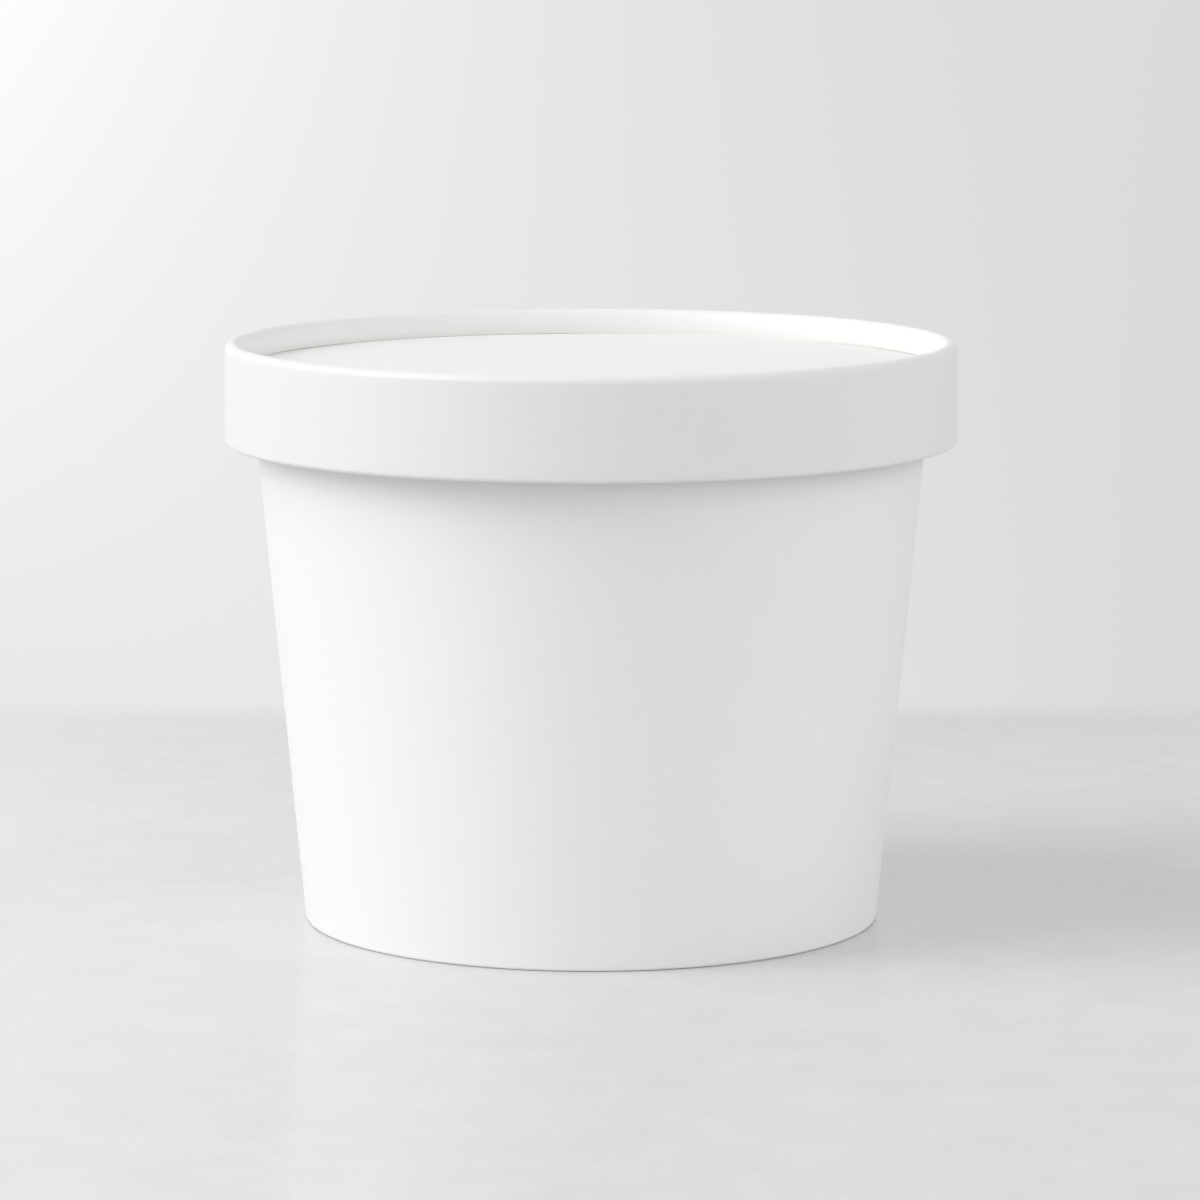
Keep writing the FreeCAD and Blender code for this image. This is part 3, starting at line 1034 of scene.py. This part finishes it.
@dataclass(frozen=True)
class Softbox:
    """Soft square white lamp, aimed at the tub. Degrees, metres and watts.

    The azimuth is 0 in front of the tub, on its -Y side, and grows towards +X. Gloss shows
    only a lamp that is mirrored, so that the polished floor is spared the low ones.
    """

    name: str
    azimuth: float
    elevation: float
    distance: float
    width: float
    power: float
    mirrored: bool = True

    def place(self, aim: Vector) -> bpy.types.Object:
        """Hang the lamp.

        Args:
            aim: The point that it faces.

        Returns:
            The lamp.
        """
        turn, lift = math.radians(self.azimuth), math.radians(self.elevation)
        back = Vector((math.sin(turn) * math.cos(lift), -math.cos(turn) * math.cos(lift),
                       math.sin(lift)))
        data = bpy.data.lights.new(self.name, "AREA")
        data.shape = "SQUARE"
        data.size = self.width
        data.energy = self.power
        lamp = bpy.data.objects.new(self.name, data)
        bpy.context.scene.collection.objects.link(lamp)
        lamp.location = aim + back * self.distance
        lamp.rotation_euler = (-back).to_track_quat("-Z", "Y").to_euler()
        lamp.visible_camera = False
        lamp.visible_glossy = self.mirrored
        return lamp


@dataclass(frozen=True)
class Surround:
    """Backdrop that the camera and reflections see, and the even white light of the room.

    The backdrop is a grey that is lighter on the left, and more so towards its top. Its
    slopes are for each unit of direction across and up, which it follows only near the tub.
    """

    strength: float = 0.56
    tone: float = 0.786
    across: float = -1.40
    across_upward: float = -5.6
    bow: float = 6.6
    bow_upward: float = 60.0
    half_width: float = 0.11
    lowest: float = -0.165
    highest: float = -0.03

    def make(self) -> bpy.types.World:
        """Build the world.

        Returns:
            The world, which is set as the scene's.
        """
        world = bpy.data.worlds.new("surround")
        world.use_nodes = True
        net = Net(world.node_tree)
        seen = net.add("ShaderNodeLightPath")
        direct = seen["Is Camera Ray"].math(
            "MAXIMUM", seen["Is Glossy Ray"].math("MAXIMUM", seen["Is Transmission Ray"]))
        parts = net.add("ShaderNodeSeparateXYZ",
                        {"Vector": net.add("ShaderNodeTexCoord")["Generated"]})
        side = parts["X"].math("MAXIMUM", -self.half_width).math("MINIMUM", self.half_width)
        up = parts["Z"].math("MAXIMUM", self.lowest).math("MINIMUM", self.highest)
        slope = self.across + self.across_upward * up
        tone = self.tone + side * (slope + side * (self.bow + self.bow_upward * up))
        grey = net.vector(tone, tone, tone)
        shown = net.add("ShaderNodeBackground", {"Color": grey, "Strength": 1.0})
        lit = net.add("ShaderNodeBackground", {"Color": (*WHITE, 1), "Strength": self.strength})
        mixed = net.add("ShaderNodeMixShader",
                        {0: direct, 1: lit["Background"], 2: shown["Background"]})
        net.add("ShaderNodeOutputWorld", {"Surface": mixed["Shader"]})
        bpy.context.scene.world = world
        return world


@dataclass(frozen=True)
class Floor:
    """Plain pale floor whose far edge melts into the backdrop.

    It darkens a little toward that edge, is polished only near the tub, and has a faint
    mottle with a fine grain in it.
    """

    colour: Colour = (0.650, 0.650, 0.655)
    far_shade: float = 0.90
    shade_from: float = 0.08
    roughness: float = 0.14
    roughness_away: float = 0.6
    polish_within: float = 0.20
    polish_gone: float = 0.40
    mottle: float = 0.13
    mottle_scale: float = 95.0
    grain: float = 0.08
    grain_scale: float = 900.0
    half_width: float = 2.5
    near: float = -2.5
    far: float = 0.182
    melt: float = 0.024

    def lay(self) -> bpy.types.Object:
        """Lay the floor under the tub.

        Returns:
            The floor.
        """
        mesh = bpy.data.meshes.new("floor")
        corners = [(-self.half_width, self.near, 0), (self.half_width, self.near, 0),
                   (self.half_width, self.far, 0), (-self.half_width, self.far, 0)]
        mesh.from_pydata(corners, [], [(0, 1, 2, 3)])
        mesh.materials.append(self.finish())
        floor = bpy.data.objects.new("floor", mesh)
        bpy.context.scene.collection.objects.link(floor)
        return floor

    def finish(self) -> bpy.types.Material:
        """Build the floor's material.

        Returns:
            The material.
        """
        material = bpy.data.materials.new("floor")
        material.use_nodes = True
        net = Net(material.node_tree)
        run = net.add("ShaderNodeTexCoord")["Object"]
        depth = net.add("ShaderNodeSeparateXYZ", {"Vector": run})["Y"]
        away = net.add("ShaderNodeVectorMath", {0: run}, operation="LENGTH")["Value"]
        shade = net.add("ShaderNodeMapRange", {
            "Value": depth, "From Min": self.shade_from, "From Max": self.far - self.melt,
            "To Min": 1.0, "To Max": self.far_shade})["Result"]
        roughness = net.add("ShaderNodeMapRange", {
            "Value": away, "From Min": self.polish_within, "From Max": self.polish_gone,
            "To Min": self.roughness, "To Max": self.roughness_away})["Result"]
        clouds = net.add("ShaderNodeTexNoise",
                         {"Vector": run, "Scale": self.mottle_scale, "Detail": 4.0})["Fac"]
        grains = net.add("ShaderNodeTexNoise",
                         {"Vector": run, "Scale": self.grain_scale, "Detail": 2.0})["Fac"]
        mottle = (self.mottle * (clouds - NOISE_MIDDLE)
                  + self.grain * (grains - NOISE_MIDDLE))
        surface = net.add("ShaderNodeBsdfPrincipled", {
            "Base Color": net.vector(*self.colour).scaled(shade + mottle),
            "Roughness": roughness + self.mottle * (clouds - NOISE_MIDDLE),
        })
        clear = net.add("ShaderNodeBsdfTransparent")
        gone = net.add("ShaderNodeMapRange", {
            "Value": depth, "From Min": self.far - self.melt, "From Max": self.far,
            "To Min": 0.0, "To Max": 1.0}, interpolation_type="SMOOTHSTEP")["Result"]
        mixed = net.add("ShaderNodeMixShader", {0: gone, 1: surface["BSDF"], 2: clear["BSDF"]})
        net.add("ShaderNodeOutputMaterial", {"Surface": mixed["Shader"]}, target="ALL")
        return material


@dataclass(frozen=True)
class Viewpoint:
    """Long lens in front of the tub, a little above it.

    Lens and sensor are in millimetres, places in metres, and its tilt down in degrees.
    """

    lens: float = 159.6
    sensor: float = 36.0
    across: float = 0.0012
    distance: float = 0.7184
    height: float = 0.1462
    down: float = 8.145

    def set_up(self) -> bpy.types.Object:
        """Make the camera and have the scene use it.

        Returns:
            The camera.
        """
        data = bpy.data.cameras.new("camera")
        data.lens = self.lens
        data.sensor_width = self.sensor
        camera = bpy.data.objects.new("camera", data)
        bpy.context.scene.collection.objects.link(camera)
        camera.location = (self.across, -self.distance, self.height)
        camera.rotation_euler = (math.radians(90 - self.down), 0, 0)
        bpy.context.scene.camera = camera
        return camera


LAMPS = (
    Softbox("lamp_left_low", azimuth=-90, elevation=15, distance=2.0, width=1.0, power=6.6,
            mirrored=False),
    Softbox("lamp_left", azimuth=-73, elevation=32, distance=2.0, width=1.0, power=13.4),
    Softbox("lamp_left_high", azimuth=-73, elevation=50, distance=2.0, width=1.2, power=10.4),
    Softbox("lamp_left_near", azimuth=-50, elevation=3, distance=0.9, width=0.25, power=0.28,
            mirrored=False),
    Softbox("lamp_right_near", azimuth=50, elevation=3, distance=0.9, width=0.25, power=0.48,
            mirrored=False),
    Softbox("lamp_right", azimuth=38, elevation=25, distance=2.4, width=1.6, power=8.7),
    Softbox("lamp_right_low", azimuth=90, elevation=20, distance=2.4, width=1.6, power=11.2,
            mirrored=False),
    Softbox("lamp_back", azimuth=180, elevation=50, distance=2.4, width=1.8, power=2.0),
)


def clear_start_scene() -> None:
    """Remove what a new file holds that isn't the frame's."""
    kept = set(frame["nodes"].values()) | set(frame["bodies"].values())
    for item in list(bpy.data.objects):
        if item not in kept:
            bpy.data.objects.remove(item)


def main() -> None:
    """Build the tub, its lid and the scene round them."""
    logging.basicConfig(level=logging.INFO, format="%(name)s: %(message)s")
    clear_start_scene()
    bpy.context.scene.view_settings.view_transform = "Standard"
    wrap_tree = make_wrap_tree()
    for assembly in (Tub(), Lid()):
        for piece in assembly.build(wrap_tree):
            LOG.info("%s: %d faces", piece.name, len(piece.data.polygons))
    floor = Floor().lay()
    floor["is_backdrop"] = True
    Surround().make()
    low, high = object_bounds()
    middle = (low + high) / 2
    for softbox in LAMPS:
        LOG.info("%s: %.2f W", softbox.place(middle).name, softbox.power)
    Viewpoint().set_up()


if __name__ == "__main__":
    main()
